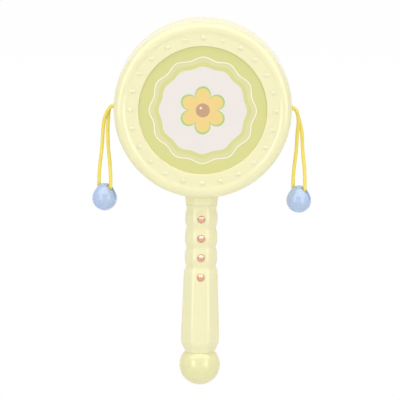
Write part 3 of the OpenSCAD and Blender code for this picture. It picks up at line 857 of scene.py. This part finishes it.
# %% [markdown]
# ## The beads
#
# A bead is a ball drawn up to a blunt top, with a hole across it. Each mouth of the hole is open
# upwards, where the cord comes down, and runs out below in a shallow groove. All of that is cut
# with a few turned tools at once. A bevel can't follow the edges where so many tools meet, so
# the mesh is rebuilt evenly and smoothed instead, and the lips are soft, as a mould leaves them.

# %% Build the beads
def bead_outline():
    """A small nub, the ball's arc, a straight flank that touches both circles, and the top's arc."""
    top_r, top_z = 5.2, 3.0
    lean = math.degrees(math.asin((bead_r - top_r) / top_z))
    return np.vstack([[(0.001, -bead_r - 0.22), (0.4, -bead_r - 0.2), (0.55, -bead_r - 0.05), (0.75, -6.66)],
                      arc((0, 0), bead_r, -82, lean, 60), arc((0, top_z), top_r, lean, 89.9, 30)])


def rod(r, start, end, sides=40):
    """A round rod between two points: circles square to the line, one at each end."""
    start, end = np.array(start, float), np.array(end, float)
    way = (end - start) / np.linalg.norm(end - start)
    first = np.cross(way, [0.3, 1, 0.2])
    first /= np.linalg.norm(first)
    a = np.linspace(0, 2 * np.pi, sides, endpoint=False)[:, None]
    circle = r * (np.cos(a) * first + np.sin(a) * np.cross(way, first))
    return np.array([circle + start, circle + end])


def mouth_tools():
    """The cross hole's rod, and for each mouth a ball, three rods fanned upwards and one that runs down outside."""
    tools = [rod(1.25, (-bead_r, 0, 0), (bead_r, 0, 0))]
    ball = revolve(np.vstack([[(0.001, -1.9)], arc((0, 0), 1.9, -85, 85, 20), [(0.001, 1.9)]]), 40)
    for out in (0, math.pi):
        tools.append(place(ball, out, at=(3.7, 0, 0)))
        for tilt in (-0.42, 0, 0.42):
            tools.append(place(rod(1.85, (3.7, 0, 0), (3.7, 5 * math.sin(tilt), 5 * math.cos(tilt))), out))
        tools.append(place(rod(1.1, (3.7, 0, 0.9), (9.4, 0, -12.1)), out))
    return tools


bead_centre = (52.3, 0, 42)
for side, out in (("right", 0), ("left", math.pi)):
    body = place(revolve(bead_outline(), 96), 0, at=bead_centre)
    bead = add_object(side + "_bead_ball", rings_mesh(side + "_bead_ball", [place(body, out)]))
    hole_centre = np.array(bead_centre, float) + [0, 0, bead_hole_rise]
    tools = [place(place(tool, -bead_turn) + hole_centre, out) for tool in mouth_tools()]
    cut(bead, rings_mesh("hole", tools), overlapping=True)
    step = bead.modifiers.new("even", "REMESH")
    step.mode, step.voxel_size = "VOXEL", 0.00014
    step = bead.modifiers.new("soften", "SMOOTH")
    step.factor, step.iterations = 0.5, 26
    bake(bead)
    bead.data.polygons.foreach_set("use_smooth", [True] * len(bead.data.polygons))
    bead.data.materials.clear()
    bead.data.materials.append(blue_plastic)
    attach(bead, side + "_ball")
    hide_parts(side + "_bead")
    print(bead.name, len(bead.data.polygons), "faces")

# %% [markdown]
# ## Pieces that keep their measured form
#
# The drumheads, the rings behind them, the screws and the knots keep the measured shape, because
# nothing of them is seen but flat or hidden faces. They only get a finish, and the knots a fuzzy
# yarn without a map.

# %% Finish the measured pieces
cord_knot_yarn, tree, shader = new_material("cord_knot_yarn", Sheen_Weight=0.25, Roughness=0.75)
where = add_node(tree, "TexCoord")
fuzz = add_node(tree, "TexNoise", {"Vector": where.outputs["Object"], "Scale": 1500, "Detail": 3})
tree.links.new(blend_colour(tree, fuzz.outputs[0], linear("e9d44c"), linear("f9e878")), shader.inputs["Base Color"])
fluff = add_node(tree, "Bump", {"Strength": 0.6, "Distance": 0.0002, "Height": fuzz.outputs[0]})
tree.links.new(fluff.outputs[0], shader.inputs["Normal"])

finishes = {"front_head": printed_head, "rear_head": printed_head, "front_head_ring": inner_plastic,
            "rear_head_ring": inner_plastic, "drum_screws": screw_steel, "handle_screws": screw_steel,
            "left_cord_knot": cord_knot_yarn, "right_cord_knot": cord_knot_yarn}
for node, material in finishes.items():
    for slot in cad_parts[node].material_slots:
        slot.material = material
print("measured pieces with a finish:", len(finishes))

# %% [markdown]
# ## Floor and light
#
# A pale studio: a world of even white light, and a floor 19 cm below the ball. The photograph's
# ground is pure white. More lamps on the floor would reach that, but they would wash out the
# toy. So the floor only looks white to the camera and in reflections, where most of it glows at
# strength 1, while its scattered light stays that of pale paint. Near the toy's foot more
# of the paint shows, so that its shadow is kept.

# %% Floor and world
def seen_directly(tree):
    """1 for rays from the camera and for rays in gloss or through glass, 0 for scattered light."""
    ray = add_node(tree, "LightPath")
    return maths(tree, "MAXIMUM", ray.outputs["Is Camera Ray"],
                 maths(tree, "MAXIMUM", ray.outputs["Is Glossy Ray"], ray.outputs["Is Transmission Ray"]))


pale_floor = bpy.data.materials.new("pale_floor")
pale_floor.use_nodes = True
tree = pale_floor.node_tree
tree.nodes.clear()
direct = seen_directly(tree)
pale, white = (0.8, 0.8, 0.8, 1), (1, 1, 1, 1)
paint = add_node(tree, "BsdfDiffuse", {"Color": blend_colour(tree, direct, pale, white)})
glow = add_node(tree, "Emission", {"Color": white, "Strength": 1})
where = add_node(tree, "TexCoord")
distance = add_node(tree, "VectorMath", {0: where.outputs["Object"]}, operation="LENGTH")
foot_glow, far_glow = 0.55, 0.97
glow_share = add_node(tree, "MapRange", {"Value": distance.outputs["Value"], "From Min": 0.25, "From Max": 0.85,
                                         "To Min": foot_glow, "To Max": far_glow}, interpolation_type="SMOOTHSTEP")
glow_seen = maths(tree, "MULTIPLY", direct, glow_share.outputs[0])
floor_mix = add_node(tree, "MixShader", {0: glow_seen, 1: paint.outputs[0], 2: glow.outputs[0]})
tree.links.new(floor_mix.outputs[0], tree.nodes.new("ShaderNodeOutputMaterial").inputs[0])

floor_z, floor_half = -0.25, 12
floor_corners = [(x * floor_half, y * floor_half, floor_z) for x, y in ((-1, -1), (1, -1), (1, 1), (-1, 1))]
floor_mesh = bpy.data.meshes.new("floor")
floor_mesh.from_pydata(floor_corners, [], [(0, 1, 2, 3)])
floor_mesh.materials.append(pale_floor)
floor = add_object("floor", floor_mesh)

world = bpy.data.worlds.new("studio")
bpy.context.scene.world = world
world.use_nodes = True
tent = world.node_tree.nodes["Background"]
tent.inputs["Color"].default_value = white
tent_light = 0.76
brightness = maths(world.node_tree, "MULTIPLY_ADD", seen_directly(world.node_tree), 1 - tent_light, tent_light)
world.node_tree.links.new(brightness, tent.inputs["Strength"])
print("the floor lies at", floor_z, "m, and the world lights the toy at", tent_light)

# %% [markdown]
# A lamp's reflection in a glossy surface is far brighter than the light that it scatters there. The
# photograph has crisp glints and very soft shading. One lamp can't give both, so a soft box may be
# two lamps: one that lights the toy, and one that only its gloss sees. The second stands 2 cm
# nearer, because a ray in gloss that met the first would stop there.
#
# An upright box at each side in front gives the pairs of glints on the ball and the beads. A box
# above brightens the rims. A wide one, high in front, gives only the white tops of the
# pegs. Large boxes in front and behind fill the shade.

# %% Soft boxes
toy_middle_z = 0.03
glint_nearer = 0.02


def soft_box(name, azimuth, elevation, distance, width, height, light, glint):
    """A rectangular lamp that faces the toy, with the power strength * pi * width * height."""
    a, e = math.radians(azimuth), math.radians(elevation)
    way = Vector((math.sin(a) * math.cos(e), -math.cos(a) * math.cos(e), math.sin(e)))
    for part, strength, away in (("light", light, distance), ("glint", glint, distance - glint_nearer)):
        if strength == 0:
            continue
        lamp = bpy.data.lights.new(name + "_" + part, "AREA")
        lamp.shape, lamp.size, lamp.size_y = "RECTANGLE", width, height
        lamp.energy = strength * math.pi * width * height
        piece = add_object(name + "_" + part, lamp)
        stand = Matrix.Translation(Vector((0, 0, toy_middle_z)) + way * away)
        piece.matrix_world = stand @ way.to_track_quat("Z", "Y").to_matrix().to_4x4()
        piece.visible_diffuse = part == "light"
        piece.visible_glossy = part == "glint"


# azimuth and elevation in degrees; distance, width and height in metres; then light and glint
for name, *values in (
    ("soft_box_left", -38, 6, 1.6, 0.6, 1.2, 1.2, 3.6),
    ("soft_box_right", 38, 6, 1.6, 0.6, 1.2, 1.2, 3.6),
    ("soft_box_top", 0, 78, 1.5, 1.0, 1.5, 1.5, 0),
    ("soft_box_high", 0, 62, 1.5, 4.2, 0.9, 0, 2.7),
    ("soft_box_front", 0, 2, 3.2, 2.0, 1.4, 1.2, 0),
    ("soft_box_back", 180, 20, 3.2, 2.0, 1.4, 1.4, 0),
):
    soft_box(name, *values)
    print(name, "stands at azimuth", values[0], "and elevation", values[1], "degrees")
bpy.context.scene.view_settings.view_transform = "Standard"
